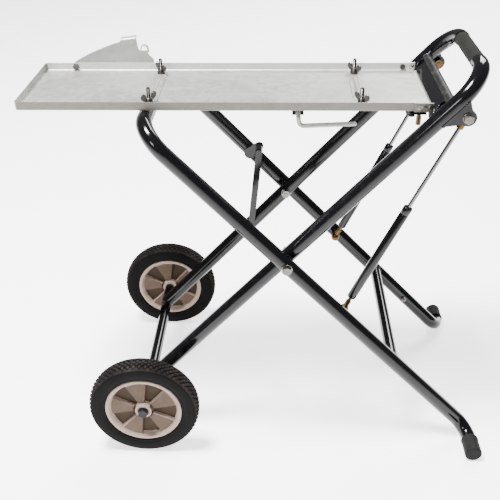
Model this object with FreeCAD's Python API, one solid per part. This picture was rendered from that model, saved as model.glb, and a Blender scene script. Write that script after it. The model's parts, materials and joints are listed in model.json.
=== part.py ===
import FreeCAD, Part
import os
from math import sin, cos, tan, radians, sqrt, atan2, pi, hypot
from FreeCAD import Vector

# Folding wheeled saw stand: two crossed U-shaped tube frames, a pressed tray on top,
# two gas struts, a slotted stay, two wheels and two splayed feet.
# +X runs from the wheel end to the handle end, +Y is the far side, +Z is up.
# The origin is on the floor, under the middle of the stand's outline.

os.makedirs("parts", exist_ok=True)

# ---- driving dimensions, in mm -------------------------------------------------------
tube_diameter = 31.8
tube_wall = 2.0
pivot_height = 453.1            # the crossing bolts above the floor
handle_angle = 47.23            # handle frame above the horizontal
leg_angle = 46.26               # leg frame below the horizontal
handle_reach = 520.0            # pivot to the middle of the handle bar
leg_top_reach = 396.0           # pivot to the middle of the top bar
handle_half = 149.8             # middle of a handle tube from the mid-plane
leg_half = 184.0                # middle of a leg tube from the mid-plane
handle_bend = 66.0
bar_radius = 12.7               # the bar that the foam sleeve is on
bar_near = -74.0                # the side tubes stop here, and the thinner bar runs between them
bar_far = 82.0
grip_wall = 2.0
top_bend = 62.0
foot_bend = 42.0
foot_tip = 272.0                # outer end of a foot cap from the mid-plane
cap_radius = 19.0
cap_flat = 0.6                  # how deep the flat under each cap is cut
wheel_radius = 120.8
wheel_middle = 238.0            # wheel mid-plane from the stand's mid-plane
tyre_width = 42.0
rim_radius = 83.5
axle_radius = 7.0
tray_left = 521.7               # tray's left end from the pivot
tray_right = 259.3              # tray's right end from the pivot
tray_half = 118.5
tray_lip = 17.0
sheet = 1.5
tray_gap = 0.6                  # between the top bar and the tray's underside
strut_half = 150.0              # strut middle-planes from the mid-plane
strut_low_reach = 179.3         # pivot to the strut's lower end, along the leg
strut_top_reach = 447.5         # pivot to the strut's upper end
strut_top_angle = 43.26
barrel_start = 32.0             # lower end of the barrel from the strut's lower ball
barrel_length = 238.0
barrel_radius = 9.5
rod_radius = 4.2
stay_radius = 122.3             # pivot to each end of the stay
stay_top_angle = 120.96
stay_side = 126.0               # near face of the stay bar
stay_face = 1.4                 # thickness of its plain front
fold_limit = 60.0               # how far the legs swing shut, in degrees
fit = 0.05                      # radial running fit of a bolt in its bush

# ---- worked out -------------------------------------------------------------------------
tube_radius = tube_diameter / 2
ground_middle = cap_radius - cap_flat
foot_reach = (pivot_height - ground_middle) / sin(radians(leg_angle))
axle_reach = (pivot_height - wheel_radius) / sin(radians(handle_angle))
foot_x = foot_reach * cos(radians(leg_angle))
pivot_x = (tray_left - foot_x - cap_radius) / 2
top_bar_rise = leg_top_reach * sin(radians(leg_angle))
hinge_x = pivot_x + sqrt(leg_top_reach ** 2 - top_bar_rise ** 2)
hinge_z = pivot_height + top_bar_rise
tray_z = hinge_z + tube_radius + tray_gap
lip_top = tray_z + tray_lip
tray_x0 = pivot_x - tray_left
tray_x1 = pivot_x + tray_right
y_axis = Vector(0, 1, 0)


def on_handle(s, n=0.0, y=0.0):
    """Point at s along the handle frame from the pivot and n above its middle line."""
    a = radians(handle_angle)
    return Vector(pivot_x + s * cos(a) - n * sin(a), y, pivot_height + s * sin(a) + n * cos(a))


def on_leg(s, n=0.0, y=0.0):
    """Point at s down the leg frame from the pivot and n above its middle line."""
    a = radians(leg_angle)
    return Vector(pivot_x + s * cos(a) + n * sin(a), y, pivot_height - s * sin(a) + n * cos(a))


def around_pivot(radius, angle):
    a = radians(angle)
    return Vector(pivot_x + radius * cos(a), 0, pivot_height + radius * sin(a))


# ---- shape helpers ----------------------------------------------------------------------
def rod(start, end, radius):
    line = end - start
    return Part.makeCylinder(radius, line.Length, start, line)


def pipe(start, end, outer, inner):
    line = end - start
    past = Vector(line).normalize() * 1.0
    return rod(start, end, outer).cut(rod(start - past, end + past, inner))


def cross_rod(place, radius, y0, y1):
    """Rod along Y through a point, between two Y values."""
    low, high = min(y0, y1), max(y0, y1)
    return Part.makeCylinder(radius, high - low, Vector(place.x, low, place.z), y_axis)


def cross_pipe(place, outer, inner, y0, y1):
    return cross_rod(place, outer, y0, y1).cut(cross_rod(place, inner, min(y0, y1) - 1, max(y0, y1) + 1))


def hexagon(place, across, y0, y1):
    """Hexagonal prism along Y, as a bolt head or a nut."""
    corner = across / 2 / cos(pi / 6)
    ring = [Vector(place.x + corner * cos(pi / 3 * i), min(y0, y1), place.z + corner * sin(pi / 3 * i))
            for i in range(7)]
    return Part.Face(Part.makePolygon(ring)).extrude(Vector(0, abs(y1 - y0), 0))


def hexagon_up(x, y, z0, z1, across):
    corner = across / 2 / cos(pi / 6)
    ring = [Vector(x + corner * cos(pi / 3 * i), y + corner * sin(pi / 3 * i), z0) for i in range(7)]
    return Part.Face(Part.makePolygon(ring)).extrude(Vector(0, 0, z1 - z0))


def plate(points, y0, y1):
    """Flat plate along Y from an outline of points in the side view."""
    ring = [Vector(p.x, min(y0, y1), p.z) for p in points]
    ring.append(ring[0])
    return Part.Face(Part.makePolygon(ring)).extrude(Vector(0, abs(y1 - y0), 0))


def link(a, ra, b, rb, y0, y1):
    """Plate with two round ends and straight tangent sides."""
    dx, dz = b.x - a.x, b.z - a.z
    length = hypot(dx, dz)
    heading = atan2(dz, dx)
    lean = pi / 2 + atan2(rb - ra, sqrt(length ** 2 - (rb - ra) ** 2))

    def spot(c, r, angle):
        return Vector(c.x + r * cos(angle), min(y0, y1), c.z + r * sin(angle))

    a1, b1 = spot(a, ra, heading + lean), spot(b, rb, heading + lean)
    a2, b2 = spot(a, ra, heading - lean), spot(b, rb, heading - lean)
    edges = [Part.LineSegment(a1, b1).toShape(),
             Part.Arc(b1, spot(b, rb, heading), b2).toShape(),
             Part.LineSegment(b2, a2).toShape(),
             Part.Arc(a2, spot(a, ra, heading + pi), a1).toShape()]
    return Part.Face(Part.Wire(edges)).extrude(Vector(0, abs(y1 - y0), 0))


def box(x0, x1, y0, y1, z0, z1):
    return Part.makeBox(x1 - x0, y1 - y0, z1 - z0, Vector(x0, y0, z0))


def bent_rod(corners, bends, radius):
    """Round rod along straight runs joined by tangent bends, one bend radius for each inner corner."""
    edges = []
    start = corners[0]
    for i, bend in enumerate(bends, start=1):
        corner = corners[i]
        back = (corners[i - 1] - corner).normalize()
        ahead = (corners[i + 1] - corner).normalize()
        half = back.getAngle(ahead) / 2
        trim = bend / tan(half)
        middle = (back + ahead).normalize()
        first = corner + back * trim
        last = corner + ahead * trim
        crown = corner + middle * (bend / sin(half) - bend)
        edges.append(Part.LineSegment(start, first).toShape())
        edges.append(Part.Arc(first, crown, last).toShape())
        start = last
    edges.append(Part.LineSegment(start, corners[-1]).toShape())
    heading = corners[1] - corners[0]
    ring = Part.Wire(Part.Circle(corners[0], heading, radius).toShape())
    return Part.Wire(edges).makePipeShell([ring], True, False)


def bent_tube(corners, bends, outer, inner):
    return bent_rod(corners, bends, outer).cut(bent_rod(corners, bends, inner))


def both_sides(shape):
    """The shape and its mirror image across the mid-plane."""
    return Part.makeCompound([shape, shape.mirror(Vector(0, 0, 0), y_axis)])


def far_side(shape):
    return shape.mirror(Vector(0, 0, 0), y_axis)


def save(name, shape):
    shape.exportStep("parts/" + name + ".step")
    print("%-24s solids %d  volume %.0f  ok %s" % (name, len(shape.Solids), shape.Volume, shape.isValid()))


pivot = Vector(pivot_x, 0, pivot_height)
axle = on_handle(-axle_reach)
hinge = Vector(hinge_x, 0, hinge_z)
strut_low = on_leg(strut_low_reach)
strut_top = around_pivot(strut_top_reach, strut_top_angle)
stay_top = around_pivot(stay_radius, stay_top_angle)
stay_low = on_handle(-stay_radius)
inner_handle = handle_half - tube_radius        # inner faces of the handle tubes
outer_handle = handle_half + tube_radius
inner_leg = leg_half - tube_radius
outer_leg = leg_half + tube_radius

# ---- handle frame -----------------------------------------------------------------------
bolt_radius = 5.0
sleeve_radius = 7.5
axle_tube_radius = 12.7
axle_tube_end = 207.0


def handle_corners():
    return [on_handle(-axle_reach, y=-handle_half), on_handle(handle_reach, y=-handle_half),
            on_handle(handle_reach, y=handle_half), on_handle(-axle_reach, y=handle_half)]


def handle_frame():
    """Two side tubes that bend towards each other, closed at their ends, with a thinner bar between them."""
    tube = bent_tube(handle_corners(), [handle_bend, handle_bend], tube_radius, tube_radius - tube_wall)
    bar_place = on_handle(handle_reach)
    bar_bore = bar_radius - tube_wall
    tube = tube.cut(cross_rod(bar_place, tube_radius + 2, bar_near, bar_far))
    tube = tube.fuse(cross_pipe(bar_place, tube_radius, bar_bore, bar_near - 2, bar_near))
    tube = tube.fuse(cross_pipe(bar_place, tube_radius, bar_bore, bar_far, handle_half - handle_bend))
    tube = tube.fuse(cross_pipe(bar_place, bar_radius, bar_bore, bar_near, bar_far))
    tube = tube.cut(cross_rod(axle, axle_tube_radius, -250, 250))       # fish mouths on the axle tube
    tube = tube.cut(cross_rod(pivot, sleeve_radius, -200, 200))
    save("handle_frame_tube", tube)


def handle_grip():
    """Foam sleeve on the bar between the two side tubes."""
    grip_radius = bar_radius + grip_wall
    sleeve = cross_pipe(on_handle(handle_reach), grip_radius, bar_radius, bar_near + 0.5, bar_far - 0.5)
    save("handle_grip", sleeve)


def pivot_hardware():
    sleeve = cross_pipe(pivot, sleeve_radius, bolt_radius, -outer_handle, -inner_handle)
    save("handle_pivot_sleeves", both_sides(sleeve))
    bush = cross_pipe(pivot, sleeve_radius, bolt_radius + fit, -outer_leg, -inner_leg)
    save("leg_pivot_bushes", both_sides(bush))
    gap_washer = cross_pipe(pivot, 13.0, bolt_radius, -inner_leg + 0.3, -outer_handle)
    save("pivot_spacers", both_sides(gap_washer))
    head_start = outer_leg + 2.3
    bolt = cross_rod(pivot, bolt_radius, -head_start, -inner_handle + 11.0)
    bolt = bolt.fuse(hexagon(pivot, 17.0, -head_start - 6.5, -head_start))
    save("pivot_bolts", both_sides(bolt))
    washer = cross_pipe(pivot, 11.5, bolt_radius, -head_start, -outer_leg - 0.3)
    inside = cross_pipe(pivot, 10.5, bolt_radius, -inner_handle, -inner_handle + 1.6)
    save("pivot_washers", Part.makeCompound([both_sides(washer), both_sides(inside)]))
    nut = hexagon(pivot, 17.0, -inner_handle + 1.6, -inner_handle + 9.6)
    nut = nut.cut(cross_rod(pivot, bolt_radius, -inner_handle, -inner_handle + 12))
    save("pivot_nuts", both_sides(nut))


cross_bar_place = on_handle(440.2, 0.2)
cross_bar_radius = 9.5


def cross_bars():
    bar = cross_pipe(cross_bar_place, cross_bar_radius, 8.0, -inner_handle - 2.0, inner_handle + 2.0)
    save("cross_bar", bar.cut(handle_bores()))
    tube = cross_pipe(axle, axle_tube_radius, axle_radius + 1.2, -axle_tube_end, axle_tube_end)
    save("axle_tube", tube)


def handle_bores():
    """The round space that the handle tube takes up, to trim what is welded to it."""
    return bent_rod(handle_corners(), [handle_bend, handle_bend], tube_radius)


# The hinge bracket is a channel of plate: a web between the handle tubes and two ears
# that come down beside the tray to the hinge bolts.
ear_out = 126.4
ear_in = 123.4
hinge_radius = 4.0


def hinge_bracket():
    web_foot, web_head = 410.0, 434.5
    web_low, web_high = 5.5, 8.5
    web = [on_handle(web_foot, web_low), on_handle(web_head, web_low),
           on_handle(web_head, web_high), on_handle(web_foot, web_high)]
    bracket = plate(web, -ear_out, ear_out)
    for side in (-1, 1):
        ear = link(hinge, 11.0, on_handle(426, 0.6), 12.2, side * ear_in, side * ear_out)
        bracket = bracket.fuse(ear)
        # a weld tab reaches from the ear to the handle tube's inner face
        tab = plate([on_handle(414, -4), on_handle(430, -4), on_handle(430, 4), on_handle(414, 4)],
                    side * ear_out, side * (inner_handle + 1.0))
        bracket = bracket.fuse(tab)
    bracket = bracket.cut(handle_bores())
    bracket = bracket.cut(cross_rod(cross_bar_place, cross_bar_radius, -140, 140))
    bracket = bracket.cut(cross_rod(hinge, hinge_radius, -140, 140))
    save("hinge_bracket", bracket.removeSplitter())
    pin = cross_rod(hinge, hinge_radius, -ear_out, -109.0)
    pin = pin.fuse(hexagon(hinge, 13.0, -ear_out - 5.0, -ear_out))
    save("hinge_bolts", both_sides(pin))
    nut = hexagon(hinge, 13.0, -111.0, -117.5).cut(cross_rod(hinge, hinge_radius, -119, -108))
    save("hinge_nuts", both_sides(nut))


strut_ear_out = 163.0
strut_ear_in = 159.0
strut_bolt_radius = 5.0


def strut_ears():
    s = strut_top_reach * cos(radians(handle_angle - strut_top_angle))
    n = -strut_top_reach * sin(radians(handle_angle - strut_top_angle))
    ear = plate([on_handle(s - 48, -6), on_handle(s + 26, -6),
                 on_handle(s + 12, n), on_handle(s - 10, n - 6)],
                -strut_ear_out, -strut_ear_in)
    ear = ear.fuse(cross_rod(strut_top, 15.5, -strut_ear_out, -strut_ear_in)).removeSplitter()
    ear = ear.cut(handle_bores()).cut(cross_rod(strut_top, strut_bolt_radius, -170, -150))
    save("strut_ears", both_sides(ear))
    bolt = cross_rod(strut_top, strut_bolt_radius, -strut_ear_out - 1.6, -strut_ear_in)
    bolt = bolt.fuse(cross_rod(strut_top, 10.5, -strut_ear_out - 1.6, -strut_ear_out))     # flange
    bolt = bolt.fuse(hexagon(strut_top, 17.0, -strut_ear_out - 7.6, -strut_ear_out - 1.6))
    save("strut_ear_bolts", both_sides(bolt))


def stay_hardware():
    pin_radius = 4.0
    pin_end = stay_side + stay_face + 0.2
    pin = cross_rod(stay_low, pin_radius, pin_end, stay_side + 5.0)
    pin = pin.fuse(cross_rod(stay_low, 7.0, stay_side + 5.0, inner_handle + 6.0).cut(handle_bores()))
    save("stay_pin", pin)
    # stay bar in line with the two pins, with a plain front face and a groove behind for the lower pin
    line = (stay_low - stay_top)
    span = line.Length
    line.normalize()
    y0, y1 = stay_side, stay_side + 4.0
    half = 7.5
    tip = stay_top + line * (span + 6.0)
    bar = link(stay_top, half, tip, half, y0, y1)
    slot_top = stay_top + line * (2 * stay_radius * sin(radians((stay_spread() - fold_limit) / 2)) - 6.0)
    slot_low = stay_top + line * span
    bar = bar.cut(link(slot_top, pin_radius + 0.3, slot_low, pin_radius + 0.3, y0 + stay_face, y1 + 1))
    bar = bar.cut(cross_rod(stay_top, pin_radius + fit, y0 + stay_face, y1 + 1))
    save("stay_bar", bar)
    post = cross_rod(stay_top, pin_radius, pin_end, inner_leg - 4.0)
    post = post.fuse(cross_rod(stay_top, 8.0, y1 + 0.6, inner_leg - 4.0))
    post = post.fuse(cross_rod(stay_top, pin_radius, inner_leg - 4.0, inner_leg + 1.5))
    save("stay_post", post)
    near_tube = on_leg(-stay_radius)
    ear = link(stay_top, 10.0, near_tube, 14.0, inner_leg - 4.0, inner_leg + 1.5)
    ear = ear.cut(rod(on_leg(-300, y=leg_half), on_leg(300, y=leg_half), tube_radius))
    ear = ear.cut(cross_rod(stay_top, pin_radius, 150, 180))
    save("stay_ear", ear)


def stay_spread():
    """Angle at the pivot between the stay's two ends."""
    return 180.0 + handle_angle - stay_top_angle


# ---- leg frame --------------------------------------------------------------------------
low_bar_reach = 337.0
low_bar_drop = 6.0


def leg_frame():
    side_end = foot_tip - 4.0
    corners = [on_leg(foot_reach, y=-side_end), on_leg(foot_reach, y=-leg_half),
               on_leg(-leg_top_reach, y=-leg_half), on_leg(-leg_top_reach, y=leg_half),
               on_leg(foot_reach, y=leg_half), on_leg(foot_reach, y=side_end)]
    bends = [foot_bend, top_bend, top_bend, foot_bend]
    tube = bent_tube(corners, bends, tube_radius, tube_radius - tube_wall)
    tube = tube.cut(cross_rod(pivot, sleeve_radius, -220, 220))
    place = on_leg(low_bar_reach)
    low_bar = cross_pipe(place, 12.7, 10.9, -inner_leg - 3.0, inner_leg + 3.0)
    legs = [rod(on_leg(-300, y=side * leg_half), on_leg(500, y=side * leg_half), tube_radius)
            for side in (-1, 1)]
    low_bar = low_bar.cut(legs[0]).cut(legs[1])
    save("leg_frame_tube", tube)
    save("lower_cross_tube", low_bar)


def foot_caps():
    place = on_leg(foot_reach)
    start = foot_tip - 46.0
    shell = cross_rod(place, cap_radius, -foot_tip, -start)
    rim = [e for e in shell.Edges if abs(e.BoundBox.YMin + foot_tip) < 0.01 and e.BoundBox.YLength < 0.01]
    shell = shell.makeFillet(3.0, rim)
    shell = shell.cut(cross_rod(place, tube_radius, -foot_tip + 4.0, -start + 1))
    shell = shell.cut(box(place.x - 30, place.x + 30, -foot_tip - 1, -start + 1, -20, 0))
    save("foot_caps", both_sides(shell))


def leg_small_parts():
    stud = cross_rod(strut_low, 4.0, -inner_leg, -strut_half)
    stud = stud.fuse(hexagon(strut_low, 13.0, -inner_leg, -inner_leg + 4.0))
    ball = Part.makeSphere(6.0, Vector(strut_low.x, -strut_half, strut_low.z))
    save("strut_ball_studs", both_sides(stud.fuse(ball)))
    stop_place = on_leg(452.5, 0)
    stop = hexagon(stop_place, 11.0, inner_leg - 5.0, inner_leg)
    stop = stop.fuse(cross_rod(stop_place, 3.0, inner_leg - 9, inner_leg))
    save("leg_stop_bolt", stop)


# ---- tray -------------------------------------------------------------------------------
hinge_leaf_out = tray_half + 3.0


def tray():
    pan = box(tray_x0, tray_x1, -tray_half, tray_half, tray_z, lip_top)
    corner = [e for e in pan.Edges if e.BoundBox.ZLength > 10 and e.BoundBox.XMax < tray_x0 + 1]
    pan = pan.makeFillet(7.0, corner)
    under = [e for e in pan.Edges if e.BoundBox.ZMax < tray_z + 0.01 and e.BoundBox.XMin < tray_x1 - 1]
    pan = pan.makeFillet(3.0, under)
    hollow = box(tray_x0 + sheet, tray_x1 + 5, -tray_half + sheet, tray_half - sheet,
                 tray_z + sheet, lip_top + 5)
    corner = [e for e in hollow.Edges if e.BoundBox.ZLength > 10 and e.BoundBox.XMax < tray_x0 + 4]
    hollow = hollow.makeFillet(5.5, corner)
    under = [e for e in hollow.Edges
             if e.BoundBox.ZMax < tray_z + sheet + 0.01 and e.BoundBox.XMin < tray_x1 - 1]
    hollow = hollow.makeFillet(1.5, under)
    between = box(clamp_x[0] + strap_half, clamp_x[1] - strap_half, -tray_half, tray_half,
                  tray_z, lip_top + 5)
    pan = pan.cut(hollow.common(between)).cut(hollow.cut(between))
    for place, radius in tray_holes():
        pan = pan.cut(Part.makeCylinder(radius, 20, Vector(place.x, place.y, tray_z - 5), Vector(0, 0, 1)))
    for place in lip_holes():
        pan = pan.cut(cross_rod(place, 3.0, -130, -100)).cut(cross_rod(place, 3.0, 100, 130))
    pan = pan.cut(cross_rod(latch_pivot, 4.0, 100, 130))
    save("tray_pan", pan)


clamp_x = [pivot_x - 268.0, pivot_x + 139.0]
clamp_y = 88.0
strap_half = 13.0
latch_pivot = Vector(pivot_x - 456.0, 0, tray_z + 9.5)
leaf_bolt = Vector(hinge_x - 9.0, 0, tray_z + 11.0)
leaf_hole = Vector(hinge_x - 18.0, 0, tray_z + 11.0)
leaf_rivet = Vector(hinge_x - 30.0, 0, tray_z + 9.0)


def tray_holes():
    studs = [(Vector(x, y, 0), 4.0) for x in clamp_x for y in (-clamp_y, clamp_y)]
    return studs + [(stop_stud, 4.0), (stop_bumper, 4.0)]


def lip_holes():
    return [leaf_rivet]


def hinge_leaves():
    """Galvanised plates outside the lips that carry the tray's hinge bolts, joined by a folded end sheet."""
    top_left, top_right = hinge_x - 40.0, hinge_x - 4.0
    for_side = []
    for side in (-1, 1):
        body = plate([Vector(top_left, 0, lip_top), Vector(top_right, 0, lip_top),
                      Vector(top_right, 0, tray_z - 4.0), Vector(hinge_x + 10.5, 0, hinge_z + 3),
                      Vector(hinge_x - 10.5, 0, hinge_z - 3), Vector(hinge_x - 13.0, 0, tray_z),
                      Vector(top_left, 0, tray_z)],
                     side * tray_half, side * hinge_leaf_out)
        body = body.fuse(cross_rod(hinge, 11.0, side * tray_half, side * hinge_leaf_out))
        for_side.append(body)
    # the end sheet hangs from under the tray's floor and rolls down towards the hinge line
    drop = 15.5
    start = Vector(hinge_x - 34.0, 0, tray_z - sheet)
    knee = Vector(hinge_x - 4.0, 0, tray_z - sheet)
    roll = Vector(knee.x + drop * sin(radians(60)), 0, knee.z - drop * (1 - cos(radians(60))))
    middle = Vector(knee.x + drop * sin(radians(30)), 0, knee.z - drop * (1 - cos(radians(30))))
    path = Part.Wire([Part.LineSegment(start, knee).toShape(), Part.Arc(knee, middle, roll).toShape()])
    strip = path.makeOffset2D(sheet * 0.98, join=0, fill=True, openResult=True)
    strip.translate(Vector(0, -tray_half, 0))
    end_sheet = strip.extrude(Vector(0, 2 * tray_half, 0))
    whole = for_side[0].fuse(for_side[1]).fuse(end_sheet)
    whole = whole.cut(cross_rod(hinge, hinge_radius + fit, -130, 130))
    whole = whole.cut(cross_rod(leaf_bolt, 3.0, -130, -115)).cut(cross_rod(leaf_bolt, 3.0, 115, 130))
    whole = whole.cut(cross_rod(leaf_hole, 3.4, -130, -tray_half))
    whole = whole.cut(cross_rod(leaf_hole, 3.4, tray_half, 130))
    whole = whole.cut(cross_rod(leaf_rivet, 3.0, -130, 130))
    whole = whole.cut(Part.makeCylinder(4.0, 20, Vector(stop_stud.x, stop_stud.y, tray_z - 10)))
    save("hinge_leaf_channel", whole.removeSplitter())
    bolt = cross_rod(leaf_bolt, 3.0, -hinge_leaf_out, -tray_half + 5.0)
    bolt = bolt.fuse(hexagon(leaf_bolt, 10.0, -hinge_leaf_out - 3.6, -hinge_leaf_out))
    save("leaf_bolts", both_sides(bolt))
    rivet = cross_rod(leaf_rivet, 3.0, -hinge_leaf_out, -tray_half + sheet)
    rivet = rivet.fuse(cross_rod(leaf_rivet, 5.0, -hinge_leaf_out - 1.6, -hinge_leaf_out))
    rivet = rivet.fuse(cross_rod(leaf_rivet, 5.5, -tray_half + sheet, -tray_half + sheet + 3.0))
    save("leaf_rivets", both_sides(rivet))


def clamps():
    """Two straps across the tray floor, each held by two studs with wing nuts."""
    floor = tray_z + sheet
    straps = []
    studs = []
    for x in clamp_x:
        strap = box(x - strap_half, x + strap_half, -clamp_y - 18, clamp_y + 18, floor, floor + 3.0)
        rib = box(x - 5, x + 5, -clamp_y + 16, clamp_y - 16, floor + 3.0, floor + 7.0)
        strap = strap.fuse(rib)
        for side in (-1, 1):
            y = side * clamp_y
            strap = strap.cut(Part.makeCylinder(4.0, 20, Vector(x, y, floor - 5), Vector(0, 0, 1)))
            studs.append(Part.makeCylinder(4.0, 34.0 + sheet, Vector(x, y, tray_z), Vector(0, 0, 1)))
        straps.append(strap)
    save("clamp_straps", Part.makeCompound(straps))
    save("clamp_studs", Part.makeCompound(studs))
    wing_turns = [50, 130, 130, 130]     # how each nut was left, from the X axis
    number = 0
    for x in clamp_x:
        for side in (-1, 1):
            number += 1
            y = side * clamp_y
            base = floor + 3.3
            nut = Part.makeCone(8.5, 6.5, 11.0, Vector(x, y, base), Vector(0, 0, 1))
            for turn in (0, 180):
                wing = Part.makeCylinder(8.0, 2.4, Vector(x - 1.2, y + 11.5, base + 13.0), Vector(1, 0, 0))
                wing = wing.fuse(box(x - 1.2, x + 1.2, y + 3.0, y + 13.0, base + 2.0, base + 12.0))
                wing.rotate(Vector(x, y, 0), Vector(0, 0, 1), turn + wing_turns[number - 1] - 90)
                nut = nut.fuse(wing)
            nut = nut.cut(Part.makeCylinder(4.0 + fit, 30, Vector(x, y, base - 2), Vector(0, 0, 1)))
            save("wing_nut_%d" % number, nut.removeSplitter())


def latch():
    """Upright hand plate outside the far lip, with a rolled finger tab and a hooked nose."""
    x, z = latch_pivot.x, latch_pivot.z
    y0 = tray_half + 0.6
    outline = [Vector(x - 9, 0, z - 9), Vector(x + 165, 0, z - 9), Vector(x + 171, 0, z + 20),
               Vector(x + 158, 0, z + 37), Vector(x + 144, 0, z + 46), Vector(x + 138, 0, z + 33),
               Vector(x + 135, 0, z + 61), Vector(x + 100, 0, z + 55), Vector(x + 40, 0, z + 33),
               Vector(x + 4, 0, z + 14), Vector(x - 9, 0, z + 6)]
    body = plate(outline, y0, y0 + 3.0)
    tab = box(x + 101, x + 134, y0, y0 + 16.0, z + 54.5, z + 57.5)
    tab.rotate(Vector(x + 100, 0, z + 55), y_axis, -9.7)
    body = body.fuse(tab)
    lug = box(x + 144, x + 158, y0, y0 + 12.0, z + 34.0, z + 37.0)
    body = body.fuse(lug)
    body = body.cut(cross_rod(latch_pivot, 4.0 + fit, 100, 140)).removeSplitter()
    save("latch_plate", body)
    bolt = cross_rod(latch_pivot, 4.0, tray_half - sheet - 5.0, y0 + 4.2)
    bolt = bolt.fuse(hexagon(latch_pivot, 12.0, tray_half - sheet - 5.0, tray_half - sheet))
    bolt = bolt.fuse(cross_rod(latch_pivot, 7.5, y0 + 3.3, y0 + 6.3))
    save("latch_bolt", bolt)


lever_axis = Vector(pivot_x + 18.0, 0, tray_z - 9.0)
lever_radius = 4.6


def release_lever():
    """Bent rod under the tray: a cross shaft, a drop and a hand lever running to the handle end."""
    x, z = lever_axis.x, lever_axis.z
    corners = [Vector(x, -20, z), Vector(x, -110, z),
               Vector(x + 3, -110, z - 24), Vector(x + 112, -110, z - 19)]
    rodding = bent_tube(corners, [10.0, 10.0], lever_radius, lever_radius - 1.2)
    save("release_lever", rodding)
    clips = []
    for y in (-36.0, -92.0):
        clip = box(x - 11, x + 11, y - 5, y + 5, z - 6.8, tray_z)
        clip = clip.cut(cross_rod(lever_axis, lever_radius + fit, y - 8, y + 8))
        clips.append(clip)
    save("lever_clips", Part.makeCompound(clips))


stop_stud = Vector(hinge_x - 26.0, -100.0, 0)
stop_bumper = Vector(hinge_x - 40.0, -100.0, 0)


def stop_plate():
    """Small black plate under the tray's handle end, with a bumper and a threaded stud."""
    low, high = tray_z - 9.0, tray_z
    block = box(hinge_x - 52, hinge_x - 14, -112, -88, low, low + 3.0)
    for x, top in ((hinge_x - 52, high), (hinge_x - 20, high - sheet * 1.99)):
        block = block.fuse(box(x, x + 3, -112, -88, low + 3.0, top))
    for place in (stop_stud, stop_bumper):
        block = block.cut(Part.makeCylinder(4.0, 30, Vector(place.x, place.y, low - 5), Vector(0, 0, 1)))
    save("stop_plate", block)
    stud_foot = Vector(stop_stud.x, stop_stud.y, low - 24)
    stud = Part.makeCylinder(4.0, high + sheet - low + 24.0, stud_foot)
    stud = stud.fuse(Part.makeCylinder(5.0, 16.0, stud_foot))
    save("stop_stud", stud)
    bump = Part.makeCylinder(4.0, high + sheet - low + 3.0, Vector(stop_bumper.x, stop_bumper.y, low - 3))
    bump = bump.fuse(Part.makeCylinder(6.0, 7.0, Vector(stop_bumper.x, stop_bumper.y, low - 7)))
    save("stop_bumper", bump)


# ---- gas struts -------------------------------------------------------------------------
def gas_struts():
    line = (strut_top - strut_low)
    span = line.Length
    line.normalize()

    def at(distance):
        return strut_low + line * distance + Vector(0, -strut_half, 0)

    barrel_end = barrel_start + barrel_length
    socket = rod(at(8), at(barrel_start - 10), 5.5).fuse(Part.makeSphere(10.0, at(0)))
    socket = socket.fuse(rod(at(barrel_start - 12), at(barrel_start), 4.0))
    hollow = Part.makeSphere(6.3, at(0))
    mouth = cross_rod(strut_low, 5.2, -inner_leg - 5, -strut_half)
    socket = socket.cut(hollow).cut(mouth)
    shell = rod(at(barrel_start), at(barrel_end), barrel_radius)
    shell = shell.cut(rod(at(barrel_start + 3), at(barrel_end - 8), 7.9))
    shell = shell.cut(rod(at(barrel_end - 10), at(barrel_end + 5), 7.9))
    gland = rod(at(barrel_end - 8), at(barrel_end + 1), 7.9)
    gland = gland.fuse(rod(at(barrel_end), at(barrel_end + 1.4), 8.6))
    gland = gland.cut(rod(at(barrel_end - 12), at(barrel_end + 5), rod_radius + fit))
    shaft = rod(at(barrel_end - 20), at(span - 18), rod_radius)
    piston = rod(at(barrel_end - 28), at(barrel_end - 20), 7.6)
    eye = cross_rod(strut_top, 9.5, -strut_half - 6, -strut_half + 6)
    neck = rod(at(span - 26), at(span - 5), 7.2)
    stud = cross_rod(strut_top, 5.0, -strut_ear_in + 0.4, -strut_half + 8.5)
    rod_end = eye.fuse(neck).cut(rod(at(span - 27), at(span - 18), rod_radius))
    rod_end = rod_end.fuse(stud)
    pieces = {"strut_ball_socket": socket, "strut_barrel": shell, "strut_gland": gland,
              "strut_rod": shaft.fuse(piston), "strut_rod_end": rod_end}
    for name, shape in pieces.items():
        save(name + "_near", shape)
        save(name + "_far", far_side(shape))


# ---- wheels -----------------------------------------------------------------------------
hub_half = 22.0
hub_bore = 11.0
lobes = 5


def ring_section(points):
    """Solid of revolution about the axle from (radius, y) points."""
    ring = [Vector(axle.x + r, y, axle.z) for r, y in points]
    ring.append(ring[0])
    return Part.Face(Part.makePolygon(ring)).revolve(Vector(axle.x, 0, axle.z), y_axis, 360)


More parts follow.
